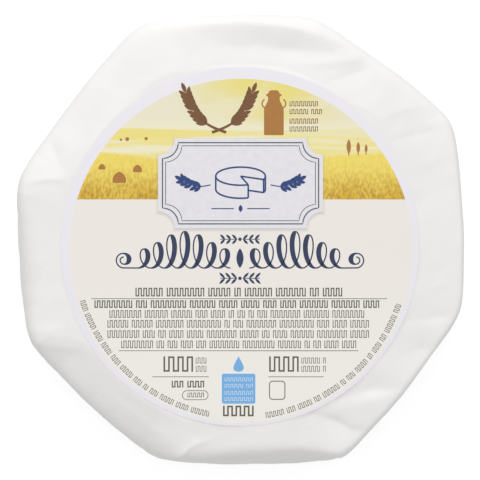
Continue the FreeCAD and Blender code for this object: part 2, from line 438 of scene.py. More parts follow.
# %% Lines of the creases
CREASES = [  # half width to its left and right; then its points: degrees, radius, height
    (2.2, 1.0, [(28.3, 60.0, -0.05), (30.5, 53.0, -0.24), (33.0, 46.0, -0.14)]),
    (1.2, 1.8, [(35.0, 59.5, 0.0), (38.0, 54.0, 0.18), (41.0, 46.5, 0.14)]),
    (1.5, 3.0, [(49.0, 56.0, 0.0), (45.5, 51.0, 0.24), (42.5, 47.0, 0.14)]),
    (2.4, 1.2, [(51.0, 57.0, -0.05), (55.0, 52.0, -0.28), (60.5, 46.0, -0.16)]),
    (1.2, 2.2, [(55.0, 57.0, 0.05), (57.5, 54.0, 0.3), (63.5, 50.0, 0.3), (73.0, 46.6, 0.1)]),
    (
        4.0,
        3.5,
        [
            (61.0, 56.0, -0.1),
            (64.5, 52.6, -0.55),
            (74.0, 50.0, -1.0),
            (84.0, 49.4, -0.75),
            (104.0, 50.5, 0.0),
        ],
    ),
    (3.4, 1.4, [(60.0, 57.0, 0.1), (76.0, 55.6, 0.9), (90.0, 55.4, 0.6), (108.0, 57.0, 0.0)]),
    (2.4, 1.0, [(128.0, 54.0, 0.0), (132.0, 51.8, 0.4), (137.0, 49.6, 0.35), (146.0, 47.2, 0.0)]),
    (1.4, 2.4, [(150.5, 55.5, -0.1), (154.5, 52.0, -0.6), (158.0, 49.0, -0.3)]),
    (1.8, 0.8, [(166.0, 57.6, 0.1), (163.0, 52.0, 0.38), (161.3, 47.5, 0.24)]),
    (0.7, 0.7, [(166.8, 56.0, 0.0), (165.5, 49.0, 0.12)]),
    (1.0, 1.8, [(145.0, 48.0, 0.0), (152.0, 47.3, 0.2), (160.0, 47.3, 0.0)]),
    (5.0, 2.0, [(207.0, 58.6, 0.5), (210.0, 54.0, 0.7), (213.5, 50.0, 0.5), (218.0, 47.3, 0.0)]),
    (1.2, 1.8, [(203.5, 58.0, 0.1), (206.5, 52.0, 0.3), (212.0, 48.0, 0.1)]),
    (2.2, 4.0, [(218.0, 51.0, 0.0), (230.0, 51.5, 0.25), (246.0, 53.0, 0.4), (254.0, 54.0, 0.0)]),
    (0.9, 0.7, [(253.4, 59.4, 0.9), (255.0, 57.0, 0.9), (256.8, 54.0, 0.4), (264.0, 50.0, 0.0)]),
    (1.0, 1.4, [(250.0, 58.5, 0.0), (249.5, 55.0, 0.2), (247.0, 50.0, 0.0)]),
    (
        3.5,
        1.2,
        [(304.0, 58.6, -0.2), (300.5, 56.0, -0.7), (298.5, 52.5, -0.8), (293.5, 48.4, -0.3)],
    ),
    (2.4, 2.3, [(315.0, 56.0, 0.0), (310.0, 53.0, 0.3), (301.0, 49.8, 0.2)]),
    (2.2, 4.0, [(318.5, 57.0, -0.1), (312.0, 51.0, -0.9), (304.0, 47.6, -0.4)]),
    (5.0, 3.0, [(332.0, 57.5, -0.2), (329.0, 54.0, -0.7), (323.0, 50.0, -0.2), (319.0, 48.0, 0.0)]),
    (1.6, 3.0, [(341.0, 58.2, -0.1), (338.5, 54.0, -0.5), (334.5, 48.0, -0.2)]),
    (1.0, 1.0, [(349.0, 55.5, 0.0), (347.0, 52.0, 0.14), (344.5, 48.5, 0.0)]),
]
TENT_ROUND = 0.25  # how far the tent's top is rounded, as a share of its half width
RELIEF_FADE = (-0.4, 0.8)  # from the flat's end, how far in and out the relief fades
CREASE_FOOT_ROWS = 4  # how many rows above the underside a crease has ended
print(len(CREASES), "creases")


# %% One crease on the shoulder
def on_circle(angle):
    """Points of the unit circle: the cosine and the sine of each angle."""
    return np.stack([np.cos(angle), np.sin(angle)], axis=-1)


def crease(plan, left, right, line):
    """Height of one crease over the plan.

    Of its stretches the nearest counts. With q the distance to it in half widths, the height is
    h exp(e - sqrt(q^2 + e^2)), and h runs evenly from point to point. The half width turns from the
    left one to the right one with the sine of the direction in which the crease lies.
    """
    degrees, radius, height = np.array(line).T
    knots = radius[:, None] * on_circle(np.radians(degrees))
    nearest = np.full(plan.shape[:-1], np.inf)
    relief = np.zeros_like(nearest)
    for start, end, low, high in zip(knots[:-1], knots[1:], height[:-1], height[1:]):
        along = end - start
        offset = plan - start
        share = np.clip(offset @ along / (along @ along), 0, 1)
        away = offset - share[..., None] * along
        distance = np.linalg.norm(away, axis=-1)
        to_left = along[0] * away[..., 1] - along[1] * away[..., 0]
        sine = to_left / (np.linalg.norm(along) * np.maximum(distance, 1e-6))
        reach = distance / (right + (left - right) * (1 + sine) / 2)
        tent = (low + (high - low) * share) * np.exp(TENT_ROUND - np.sqrt(reach**2 + TENT_ROUND**2))
        relief = np.where(distance < nearest, tent, relief)
        nearest = np.minimum(nearest, distance)
    return relief


# %% All creases together
row_number = np.arange(len(row_radius))[:, None]
below_widest = smoothstep(WIDEST_ROW, UNDER_START - CREASE_FOOT_ROWS, row_number)
plan = base[..., :2].copy()
plan[WIDEST_ROW:] = plan[WIDEST_ROW]  # below the widest line a crease runs straight down
relief = sum(crease(plan, *row) for row in CREASES)
beside_label = smoothstep(*RELIEF_FADE, row_radius - flat_end)
relief = relief * beside_label * (1 - below_widest)
print("creases from", relief.min().round(2), "to", relief.max().round(2), "mm")

# %% [markdown]
# ## Tucks
#
# At each corner the paper on one side lies over the paper on the other. The lower layer starts half
# a millimetre back and comes out to the surface further on. On the wall the tuck fades to nothing
# at the shoulder, and under the pack it becomes the pleat's edge. Separate sheets would have to
# thread through each other here, so one surface with a step in it stands for the layers.

# %% Tucked steps on the wall and under the pack
STEP = 0.5  # a few layers of paper
WALL_TUCK_RUN = 11.0  # how far from the fold the lower layer comes out to the surface, on the wall
UNDER_TUCK_SHARE = 0.62  # the same under the pack, as a share of the way to the next fold
WALL_ROWS = (2, 14)  # rows below the widest line over which the tuck grows
TURN_ROWS = (-12, 6)  # rows from the underside's first over which the wall's run gives way
HUB_RADII = (3, 9)  # under the pack, where the steps begin and where they are full

sector_run = np.repeat(sector_span, SECTOR_COLUMNS) * rim
wall_ramp = np.clip(1 - column_within * sector_run / WALL_TUCK_RUN, 0, 1)
under_ramp = np.clip(1 - column_within / UNDER_TUCK_SHARE, 0, 1)
down_wall = smoothstep(*WALL_ROWS, row_number - WIDEST_ROW)
to_under = smoothstep(*TURN_ROWS, row_number - UNDER_START)
hub = smoothstep(*HUB_RADII, row_radius)
tuck = STEP * down_wall * ((1 - to_under) * wall_ramp + to_under * under_ramp * hub)
print("tucks up to", tuck.max().round(2), "mm deep")

# %% [markdown]
# ## Creases down the wall
#
# Where the paper is gathered at a corner, a few slanted creases fan out up the wall, and a few more
# stray over the flat sides. No two packs have the same, so seeded random numbers place them. They
# are hollows of a fraction of a millimetre with the same tent as before, and where two meet the
# deeper one counts. They end under the shoulder.

# %% Slanted hollows on the wall
CREASES_PER_CORNER = 4
FOOT_SPREAD = 6  # degrees by which a crease's foot strays from its corner
STEEPEST_TURN = 14  # degrees that it turns round the wheel over the pack's height, at most
CREASE_DEPTHS = (0.10, 0.32)
CREASE_WIDTHS = (0.8, 2.4)
GROWS_BETWEEN = (0, 3)  # heights over which the creases come in, and over which they end
ENDS_BETWEEN = (13, 19)

random = np.random.default_rng(9)
crease_foot = np.repeat(corner_angle, CREASES_PER_CORNER)
crease_count = len(crease_foot)
crease_foot = crease_foot + np.radians(random.normal(0, FOOT_SPREAD, crease_count))
crease_slant = np.radians(random.uniform(-STEEPEST_TURN, STEEPEST_TURN, crease_count))
crease_depth = random.uniform(*CREASE_DEPTHS, crease_count)
crease_width = random.uniform(*CREASE_WIDTHS, crease_count)
wall_creases = np.zeros_like(row_radius)
for foot, slant, depth, width in zip(crease_foot, crease_slant, crease_depth, crease_width):
    turn = row_angle - foot - slant * row_height / PACK_HEIGHT
    arc = row_radius * ((turn + math.pi) % (2 * math.pi) - math.pi) / width
    tent = depth * np.exp(TENT_ROUND - np.sqrt(arc**2 + TENT_ROUND**2))
    wall_creases = np.maximum(wall_creases, tent)
wall_creases *= smoothstep(*GROWS_BETWEEN, row_height) * (1 - smoothstep(*ENDS_BETWEEN, row_height))
print("wall creases up to", wall_creases.max().round(2), "mm deep")

# %% [markdown]
# ## Small waves
#
# Paper that has been handled is never quite smooth. A Displace modifier with a noise texture could
# dent it, but a sum of waves says exactly how long and how deep the dents are. So a few dozen plane
# waves with random directions, and lengths between two bounds, are added up. They are seeded, so
# each run gives the same pack.


# %% Handling waves
def waves(points, shortest, longest, count, seed):
    """Sum of random plane waves of those lengths, times the square root of 2 over their number."""
    random = np.random.default_rng(seed)
    direction = random.normal(size=(count, 3))
    direction /= np.linalg.norm(direction, axis=1, keepdims=True)
    length = random.uniform(shortest, longest, count)
    phase = random.uniform(0, 2 * math.pi, count)
    turn = points @ (2 * math.pi * direction / length[:, None]).T + phase
    return np.sin(turn).sum(axis=-1) * math.sqrt(2 / count)


DENTS = [  # depth; shortest and longest wave; how many waves, and their seed
    (0.10, 14, 30, 24, 5),
    (0.025, 4, 9, 40, 6),
]
POLE_ROWS = 2  # rows round the pole underneath that stay smooth

dents = sum(depth * waves(base, *draw) for depth, *draw in DENTS)
on_side = beside_label * smoothstep(len(row_radius) - POLE_ROWS, UNDER_START, row_number)
surface = base + normals * (dents * on_side - tuck - wall_creases)[..., None]
surface[..., 2] = np.clip(surface[..., 2] + relief, 0.0, PAPER_TOP)
print("dents from", dents.min().round(2), "to", dents.max().round(2), "mm")

# %% [markdown]
# ## Closing the surface
#
# A grid left open at its poles would look the same from above, but only a closed surface has an
# inside and an outside. So the grid is closed round the pack, and a fan of triangles closes each
# pole. Faces are listed so that they point outwards: down a column and then on to the next one.


# %% The wrapper's mesh
def closed_faces(rows, columns):
    """Quads between neighbouring rows and columns, and a fan to each of two pole points."""
    index = np.arange(rows * columns).reshape(rows, columns)
    after = np.roll(index, -1, axis=1)
    quads = np.stack([index[:-1], index[1:], after[1:], after[:-1]], axis=-1).reshape(-1, 4)
    top, bottom = rows * columns, rows * columns + 1
    caps = [(top, a, b) for a, b in zip(index[0].tolist(), after[0].tolist())]
    caps += [(bottom, b, a) for a, b in zip(index[-1].tolist(), after[-1].tolist())]
    return quads.tolist() + caps


poles = np.array([[0, 0, PAPER_TOP], [0, 0, surface[-1, :, 2].mean()]])
wrapper_points = np.vstack([surface.reshape(-1, 3), poles])
wrapper_faces = closed_faces(*row_radius.shape)
print(len(wrapper_faces), "faces close the wrapper")

# %% [markdown]
# ## The wrapper's finish
#
# The paper is white with a satin film on it. One flat colour would look like plastic, so the colour
# drifts a little, warmer and cooler, over centimetres, and a faint crinkle breaks up the
# reflections. The crinkle is a bump, because relief that fine needs no points of its own.

# %% Wrapper finish
paper = Finish("wrapper_paper", roughness=0.55)
place = paper.position()
drift = paper.noise(place, 0.035, detail=1.0).step(0.35, 0.65)
paper.feed("Base Color", paper.mix(drift, srgb(240, 239, 237), srgb(243, 242, 241)))
paper.feed("Roughness", paper.noise(place, 0.25, detail=3.0) * 0.12 + 0.5)
paper.bump(paper.noise(place, 0.5, detail=3.0), 0.05)
wrapper = make_piece(
    "wrapper", wrapper_points, wrapper_faces, paper.material, sharp_degrees=40
)
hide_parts("wrapped_cheese")

# %% [markdown]
# ## The label
#
# The label is a disc of thin coated paper. It follows the cheese's flat top with hardly a wave, and
# its edge is cut square. A plain cylinder would have the outline but not the waves, so the disc is
# rings of points. Its surface height is a function, because the ink has to lie on it too.

# %% Height of the label's face
FACE_SINK = 0.06  # how far the printed face lies under the label's highest point
FACE_WAVE = 0.008  # and how deep its waves are


def label_height(points):
    """Height of the label's printed face: a little under its top, with waves of a hundredth."""
    flat = np.concatenate([points[..., :2], np.zeros_like(points[..., :1])], axis=-1)
    return LABEL_TOP - FACE_SINK + FACE_WAVE * waves(flat, 25, 60, 8, 11)


print("face at the centre", label_height(np.array([*LABEL_CENTRE, 0])).round(3), "mm up")

# %% Label mesh
LABEL_LOW = label_low[2]
RIM_COLUMNS = 256
INNER_RINGS = 18
LABEL_HUB = 3.0  # radius of the innermost ring
EDGE_BAND = 0.6  # edge to the last inner ring
EDGE_BEVEL = 0.03
EDGE_THINNING = 0.03  # the edge is pressed into the paper

inner_rings = np.linspace(LABEL_HUB, LABEL_RADIUS - EDGE_BAND, INNER_RINGS)
ring = np.concatenate([inner_rings, [LABEL_RADIUS - EDGE_BEVEL, LABEL_RADIUS]])
around = np.linspace(0, 2 * math.pi, RIM_COLUMNS, endpoint=False)
upper = ring[:, None, None] * np.stack([np.cos(around), np.sin(around), 0 * around], axis=-1)
upper[..., :2] += LABEL_CENTRE
upper[..., 2] = label_height(upper)
upper[-2:, :, 2] -= EDGE_THINNING
lower = upper[::-1].copy()
lower[..., 2] = LABEL_LOW
label_grid = np.vstack([upper, lower])
label_poles = np.array([[*LABEL_CENTRE, LABEL_TOP], [*LABEL_CENTRE, LABEL_LOW]])
label_poles[0, 2] = label_height(label_poles[0])
label_points = np.vstack([label_grid.reshape(-1, 3), label_poles])
label_faces = closed_faces(*label_grid.shape[:2])
print(len(ring), "rings of", RIM_COLUMNS, "points on each face")

# %% [markdown]
# ## The label's printed fields
#
# The label has an unprinted margin, a cream disc, and across its upper part a golden landscape: a
# near field, a streaked middle distance, a far rise and a glowing sky. A painted image would blur
# close up, so each of them is a field of colour, a step on a distance or on a height, which stays
# sharp. Here u and v are millimetres to the right of and above the label's centre.

# %% Sizes of the print
PRINT_RADIUS = 43.6
PRINT_CENTRE = (0.3, -1.0)
PRINT_EDGE = 0.1  # how soft the printed disc's edge is
LAND_LOW = 12.0  # the landscape's lower edge
LAND_EDGE = 0.12
FIELD_TOP = 23.6
SKYLINE = 29.6
FIELD_HILLS = (23.2, 1.2, 0.075, -1.2)  # height, swell, radians in a millimetre, and phase
RISE_HILLS = (27.2, 0.6, 0.06, 1.0)
FAR_HILLS = (SKYLINE, 0.5, 0.07, 4.4)
SUN = (8.0, 47.0)
SUN_REACH = (4, 30)  # from the sun, where its glow is full and where it has gone
PLAQUE_CENTRE = np.array([0.15, 16.1])
PLAQUE_HALF = np.array([20.9, 11.4])
BITE = 4.2  # radius of the bites at the plaque's corners
SHADE_DROP = 0.4  # how far the plaque's shade is shifted down
SHADE_EDGE = (-0.4, 0.8)  # across the plaque's outline, where the shade is full and where it ends
print("printed disc", PRINT_RADIUS, "mm in radius on a label of", LABEL_RADIUS.round(2))

# %% Distances and hills on the label
card = Finish("label_paper", roughness=0.38)
place = card.position()
x, y, _ = card.axes(place)
u = x - float(LABEL_CENTRE[0])
v = y - float(LABEL_CENTRE[1])


def distance_from(point):
    """Distance on the label from a point."""
    across = u - point[0]
    along = v - point[1]
    return (across * across + along * along).math("SQRT")


def above_hills(hills, soft=0.25):
    """1 above a row of hills, whose height is a slow sine with a slower one over it; 0 below."""
    height, swell, per_mm, phase = hills
    slow = (u * per_mm + phase).math("SINE") * swell
    slower = (u * (per_mm * 0.43) + phase * 1.7).math("SINE") * (swell * 0.7)
    return (v - slow - slower - height).step(-soft, soft)


# %% Sky, streaks and field
glow = 1 - distance_from(SUN).step(*SUN_REACH)
sky = card.mix(glow, srgb(238, 232, 206), srgb(237, 222, 120))
cloud = card.noise(card.position((0.6, 1, 1)), 0.13, detail=3.0).step(0.44, 0.68)
sky = card.mix(cloud * 0.6, sky, srgb(240, 234, 204))
sky = card.mix(1 - v.step(SKYLINE, SKYLINE + 4), sky, srgb(243, 236, 206))

streaks = card.noise(card.position((0.06, 1, 1)), 0.55, detail=2.0).step(0.36, 0.60)
distance = card.mix(streaks, srgb(244, 237, 202), srgb(242, 228, 148))

grass = card.noise(card.position((1.5, 0.7, 1)), 1.1, detail=4.0).step(0.36, 0.66)
clumps = card.noise(place, 0.16, detail=3.0).step(0.38, 0.62)
near_field = card.mix(v.step(LAND_LOW, FIELD_TOP - 3), srgb(221, 180, 52), srgb(246, 225, 108))
near_field = card.mix(clumps * 0.45, near_field, srgb(243, 216, 98))
stubble = card.mix(v.step(LAND_LOW, FIELD_TOP), srgb(180, 136, 36), srgb(232, 204, 92))
showing = 0.85 - v.step(LAND_LOW, FIELD_TOP) * 0.4
near_field = card.mix(grass * showing, near_field, stubble)

land = card.mix(above_hills(FIELD_HILLS, 0.5), near_field, distance)
far_rise = card.mix(u.step(-30, 32), srgb(240, 226, 132), srgb(239, 233, 184))
land = card.mix(above_hills(RISE_HILLS), land, far_rise)
land = card.mix(above_hills(FAR_HILLS), land, sky)
print("the landscape takes", len(card.nodes), "nodes")

# %% Cream, the plaque's shade and the margin
cream = card.mix(v.step(-42, 6), srgb(245, 242, 235), srgb(242, 237, 230))
fields = card.mix(v.step(LAND_LOW - LAND_EDGE, LAND_LOW + LAND_EDGE), cream, land)

beyond_side = (u - float(PLAQUE_CENTRE[0])).math("ABSOLUTE") - float(PLAQUE_HALF[0])
beyond_end = (v - float(PLAQUE_CENTRE[1] - SHADE_DROP)).math("ABSOLUTE") - float(PLAQUE_HALF[1])
from_corner = (beyond_side * beyond_side + beyond_end * beyond_end).math("SQRT")
beyond = beyond_side.math("MAXIMUM", beyond_end).math("MAXIMUM", BITE - from_corner)
fields = card.mix((1 - beyond.step(*SHADE_EDGE)) * 0.4, fields, srgb(150, 146, 150))

from_middle = distance_from(PRINT_CENTRE)
printed = 1 - from_middle.step(PRINT_RADIUS - PRINT_EDGE, PRINT_RADIUS + PRINT_EDGE)
card.feed("Base Color", card.mix(printed, srgb(240, 238, 244), fields))
card.bump(card.noise(place, 0.8, detail=2.0), 0.004)
label = make_piece(
    "label", label_points, label_faces, card.material, sharp_degrees=40
)
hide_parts("top_label")

# %% [markdown]
# ## Ink as thin shapes
#
# Lines and ornaments could be curves with a bevel, but then their ends and widths are hard to set.
# Here they are thin closed shapes that lie on the label, because an edge in the mesh stays crisp at
# any distance. Each one is a ribbon between a left and a right edge. A rule has two stations and a
# curl has many. A ring is a ribbon that meets itself, and a leaf is a short stroke whose width
# swells and shrinks.


# %% Ribbons of ink
INK = 0.015  # how far a layer of ink stands above the label
LIFT = 0.0002  # and one shape above the next, so that no two faces fall together


def ribbon_solids(left, right, layer=1, closed=False):
    """Closed thin solids from edges of shape (count, stations, 2) on the label.

    At each station the section has four corners, the two edge points a layer of ink above the
    label's face and a hair below it, and quads join each section to the next.
    """
    edges = np.stack([left, right], axis=2) + LABEL_CENTRE
    height = label_height(edges)[..., None]
    top = np.concatenate([edges, height + INK * layer], axis=-1)
    bottom = np.concatenate([edges, height - INK], axis=-1)
    points = np.concatenate([top, bottom], axis=2)  # top left, top right, low left, low right
    number = np.arange(points.size // 3).reshape(points.shape[:3])
    here = number if closed else number[:, :-1]
    there = np.roll(number, -1, axis=1) if closed else number[:, 1:]
    walls = [
        np.stack([here[..., a], here[..., b], there[..., b], there[..., a]], axis=-1)
        for a, b in [(0, 1), (1, 3), (3, 2), (2, 0)]
    ]
    quads = [wall.reshape(-1, 4) for wall in walls]
    if not closed:
        quads.append(number[:, 0][:, [0, 2, 3, 1]])
        quads.append(number[:, -1][:, [0, 1, 3, 2]])
    return points.reshape(-1, 3), np.vstack(quads)


# %% Strokes, leaves, spots and boxes
TAPER = 0.75  # how a leaf narrows to its points
LEAF_TIP = 0.004  # share of the length cut off a leaf's points, so that no edge has length 0
SPOT_TIP = 0.03  # the same for a spot, as an angle


def stroke(path, width, layer=1, closed=False):
    """A pen stroke along a path of shape (stations, 2), half its width to each side."""
    if closed:
        step = np.roll(path, -1, axis=0) - np.roll(path, 1, axis=0)
    else:
        step = np.gradient(path, axis=0)
    across = np.stack([-step[:, 1], step[:, 0]], axis=-1)
    across /= np.linalg.norm(across, axis=1, keepdims=True)
    half = np.broadcast_to(np.asarray(width) / 2, len(path))[:, None]
    return ribbon_solids((path + across * half)[None], (path - across * half)[None], layer, closed)


def leaf(start, end, width, layer=1, stations=13):
    """A shape pointed at both ends: its width along t is the full width times sin(pi t)^0.75."""
    t = np.linspace(LEAF_TIP, 1 - LEAF_TIP, stations)
    path = np.array(start) + (np.array(end) - np.array(start)) * t[:, None]
    return stroke(path, width * np.sin(math.pi * t) ** TAPER, layer)


def spot(centre, radius, layer=1):
    """A filled circle: a stroke up its middle whose width is the circle's."""
    turn = np.linspace(SPOT_TIP, math.pi - SPOT_TIP, 17)
    rise = np.stack([0 * turn, -radius * np.cos(turn)], axis=-1)
    return stroke(np.array(centre) + rise, 2 * radius * np.sin(turn), layer)


def boxes(sides, layer=1):
    """Rectangles given as rows of left, right, low and high."""
    left, right, low, high = np.asarray(sides, float).T
    upper_edge = np.stack([np.stack([left, high], -1), np.stack([right, high], -1)], axis=1)
    lower_edge = np.stack([np.stack([left, low], -1), np.stack([right, low], -1)], axis=1)
    return ribbon_solids(upper_edge, lower_edge, layer)


# %% Inks, and a piece for each
DARKEST = 0.86  # the ink's deepest tone, as a share of its colour


def ink_finish(name, colour):
    """Plain ink whose colour is slightly uneven: soft noise mixes it with a darker tone."""
    finish = Finish(name, roughness=0.4)
    tone = finish.noise(finish.position(), 0.6)
    darker = tuple(channel * DARKEST for channel in colour[:3]) + (1.0,)
    finish.feed("Base Color", finish.mix(tone, colour, darker))
    return finish.material


def joined(shapes, lift=0.0):
    """One shape from many, each lifted by that much above the one before."""
    points = [shape[0] + [0, 0, lift * k] for k, shape in enumerate(shapes)]
    starts = np.cumsum([0] + [len(part) for part in points[:-1]])
    faces = np.vstack([shape[1] + start for shape, start in zip(shapes, starts)])
    return np.vstack(points), faces


def print_ink(name, shapes, colour):
    """One piece of one ink, named for its colour."""
    points, faces = joined(shapes, LIFT)
    material = ink_finish(name + "_ink", colour)
    return make_piece(name + "_print", points, faces.tolist(), material)


# %% [markdown]
# ## Small print
#
# Small print is only a texture at this size. Separate upright strokes would look like a barcode. So
# each word is a meander: one stroke that runs down a stem and up the next, joined by turn at the
# foot and at the head. No row says anything.

# %% Rows of meanders
SHORTEST_WORD = 4  # stems


def type_row(left, right, low, high, seed, pitch=0.56, pen=0.2, longest=18):
    """Words of one row, each given by the two edges of a single bent stroke.

    Stem k stands at left + k pitch. Even stems are drawn down and odd ones up, so that at each turn
    the stroke's edges lie half a pen across and half a pen up from its middle line, or back.
    """
    random = np.random.default_rng(seed)
    half_pen = pen / 2
    number = np.arange(round((right - left + pitch - pen) / pitch))
    word_ends = np.cumsum(random.integers(SHORTEST_WORD, longest, len(number)))
    stems = np.setdiff1d(number, word_ends)
    words = []
    for word in np.split(stems, np.flatnonzero(np.diff(stems) > 1) + 1):
        if len(word) < 2:
            continue
        down = (word % 2 == 0)[:, None]
        reach = np.where(down, [high, low], [low, high]).ravel()
        inward = np.where(down, [-half_pen, half_pen], [half_pen, -half_pen]).ravel()
        across = np.repeat(left + word * pitch + half_pen, 2)
        sideways = np.where(down, half_pen, -half_pen).repeat(2)
        half = np.stack([sideways, np.full_like(across, half_pen)], axis=-1)
        inward[[0, -1]] = 0  # a word's two ends are cut square
        half[[0, -1], 1] = 0
        middle = np.stack([across, reach + inward], axis=-1)
        words.append((middle + half, middle - half))
    return words


# %% Whole rows, straight and bent
def ink_words(rows, layer=1):
    """One shape from rows of words, none of which overlap."""
    words = [word for row in rows for word in row]
    return joined([ribbon_solids(left[None], right[None], layer) for left, right in words])


def arc_row(start_degrees, end_degrees, low, high, seed):
    """A row of that length, bent round the middle of the printed disc."""
    middle = (low + high) / 2
    length = math.radians(end_degrees - start_degrees) * middle

    def bent(edge):
        angle = math.radians(start_degrees) + edge[:, 0] / middle
        return PRINT_CENTRE + edge[:, 1:] * on_circle(angle)

    words = type_row(0, length, low, high, seed, pitch=0.5, pen=0.17, longest=12)
    return [(bent(right), bent(left)) for left, right in words]  # bending turns each word over


# %% Round-cornered boxes
def rounded_box(left, right, low, high, corner, steps=10):
    """Outline of a rectangle with round corners, counter-clockwise: a quarter circle at each."""
    turn = np.linspace(0, math.pi / 2, steps)
    corners = [(right, high, -1, -1), (left, high, 1, -1), (left, low, 1, 1), (right, low, -1, 1)]
    arcs = []
    for k, (side, end, inward, upward) in enumerate(corners):
        arc = corner * on_circle(turn + k * math.pi / 2)
        arcs.append(arc + [side + inward * corner, end + upward * corner])
    return np.vstack(arcs)


# %% Grey rows, rules and frames
LINE = 1.9  # height of the light rows
SHORT_LINE = 1.5  # height of the short rows beside the two bold ones
RULE = 0.16  # thickness of a rule
light_rows = [  # left end, right end and top
    (-33.1, 32.4, -16.1),
    (-33.6, 32.9, -18.6),
    (-33.6, 32.9, -21.2),
    (-30.1, 29.6, -23.8),
]
small_rows = [
    type_row(left, right, top - LINE, top, seed)
    for seed, (left, right, top) in enumerate(light_rows)
]
for seed, (left, right) in enumerate([(-11.2, -8.4), (15.6, 22.0)]):
    for top in (-28.1, -30.2):
        small_rows.append(type_row(left, right, top - SHORT_LINE, top, seed, pitch=0.5, pen=0.16))
small_rows.append(type_row(-13.3, -9.3, -38.2, -37.0, 15, pitch=0.5, pen=0.17))
small_rows += [arc_row(197.5, 259.0, 41.5, 42.9, 21), arc_row(278.5, 341.5, 41.5, 42.9, 22)]
rules = [(-37.7, 37.3, -13.1), (-30.8, 30.1, -26.3), (-22.2, -7.9, -32.9), (7.2, 21.2, -32.9)]
light_print = [ink_words(small_rows)]
light_print.append(boxes([(left, right, top - RULE, top) for left, right, top in rules]))
light_print.append(stroke(rounded_box(-14.6, -8.1, -38.8, -36.5, 1.14), 0.17, closed=True))
light_print.append(stroke(rounded_box(7.5, 11.4, -38.7, -34.1, 0.8), 0.24, closed=True))
print_ink("light_grey", light_print, srgb(112, 107, 98))

# %% Bold rows
bold_rows = [
    type_row(-26.5, 26.0, -12.6, -10.4, 31, pitch=0.66, pen=0.29),
    type_row(-36.9, 36.2, -15.5, -13.6, 32, pitch=0.62, pen=0.28),
    type_row(-19.4, -11.8, -31.7, -27.8, 33, pitch=1.18, pen=0.42),
    type_row(7.4, 14.9, -31.7, -27.8, 33, pitch=1.18, pen=0.42),
    type_row(-17.3, -8.0, -35.7, -34.0, 35, pitch=0.66, pen=0.3),
    type_row(-4.3, 3.4, -43.0, -40.3, 36, pitch=1.05, pen=0.42),
]
print_ink("dark_grey", [ink_words(bold_rows)], srgb(96, 92, 84))

# %% [markdown]
# ## The plaque
#
# Over the landscape lies a white plaque like an old ticket, with its corners bitten out round and a
# double line round its edge. It could be a rectangle less four discs, but its outline is only four
# arcs, and the same arcs drawn further in give the two lines.


# %% Plaque
def ticket(inset, bite, steps=14):
    """Outline of the plaque, drawn in by an inset, counter-clockwise from its lower right bite.

    Each bite is a quarter circle about the corner of the inset rectangle, run backwards.
    """
    half = PLAQUE_HALF - inset
    turn = np.linspace(0, math.pi / 2, steps)
    arcs = []
    for k, sign in enumerate([(1, -1), (1, 1), (-1, 1), (-1, -1)]):
        arc = bite * on_circle(math.pi * (1 + 0.5 * k) - turn)
        arcs.append(PLAQUE_CENTRE + half * sign + arc)
    return np.vstack(arcs)


plaque_outline = ticket(0, BITE)
half_count = len(plaque_outline) // 2
right_side = plaque_outline[:half_count]
left_side = plaque_outline[half_count:][::-1]
plaque_shape = ribbon_solids(left_side[None], right_side[None])
print_ink("plaque_white", [plaque_shape], srgb(240, 238, 243))

# %% [markdown]
# ## A cut wheel and two sprigs
#
# The plaque bears the commonest picture for such a cheese, a wheel with a wedge cut from it,
# between two sprigs. A wheel seen aslant is two flat ellipses, one over the other, so every line of
# it is a stretch of an ellipse or a straight one.

# %% Cheese wheel
WHEEL_CENTRE = np.array([0.15, 17.9])
WHEEL_AXES = np.array([6.3, 2.3])
WHEEL_DEPTH = np.array([0, -3.3])
CUT = np.radians([-72, -22])  # where the wedge is missing
PEN = 0.42
ARC_STEPS = 40
FLOOR_STEPS = 50  # stations on the cut's floor, of which the front part is hidden


def wheel_arc(start, end, drop=0.0):
    """A stretch of the wheel's edge, an ellipse; the drop, 0 to 1, is how far down its side."""
    circle = on_circle(np.linspace(start, end, ARC_STEPS))
    return WHEEL_CENTRE + WHEEL_AXES * circle + WHEEL_DEPTH * drop


cut_left, cut_right = (wheel_arc(angle, angle)[0] for angle in CUT)
share_hidden = (cut_left - WHEEL_CENTRE)[0] / (cut_right - WHEEL_CENTRE)[0]
first_shown = round(share_hidden * (FLOOR_STEPS - 1))
cut_floor = np.linspace(WHEEL_CENTRE, cut_right, FLOOR_STEPS)[first_shown:] + WHEEL_DEPTH
wheel_lines = [
    wheel_arc(CUT[1], CUT[0] + 2 * math.pi),
    wheel_arc(math.pi, CUT[0] + 2 * math.pi, 1.0),
    wheel_arc(CUT[1], 0, 1.0),
    np.linspace(cut_left, WHEEL_CENTRE, 4),
    np.linspace(WHEEL_CENTRE, cut_right, 4),
    cut_floor,
]
for top in (cut_left, cut_right, wheel_arc(math.pi, math.pi)[0], wheel_arc(0, 0)[0]):
    wheel_lines.append(np.linspace(top, top + WHEEL_DEPTH, 4))
blue_shapes = [stroke(line, PEN, layer=2) for line in wheel_lines]
print(len(wheel_lines), "lines draw the wheel")

# %% Grains along a stem
GRAINS_FROM = 0.35  # shares of the stem between which the grains sit
GRAINS_TO = 0.93


def sprig(stem, grains, length, width, spread_degrees, layer=1):
    """Pairs of grains along the outer part of a stem, and one on its end.

    Each grain of a pair leans away from the stem's own direction by the spread, to its side.
    """
    step = np.gradient(stem, axis=0)
    heading = np.arctan2(step[:, 1], step[:, 0])
    shapes = []
    for at in np.linspace(GRAINS_FROM, GRAINS_TO, grains):
        k = round(at * (len(stem) - 1))
        for side in (-1, 1):
            lean_out = heading[k] + side * math.radians(spread_degrees)
            tip = stem[k] + length * on_circle(lean_out)
            shapes.append(leaf(stem[k], tip, width, layer))
    shapes.append(leaf(stem[-1], stem[-1] + length * on_circle(heading[-1]), width, layer))
    return shapes


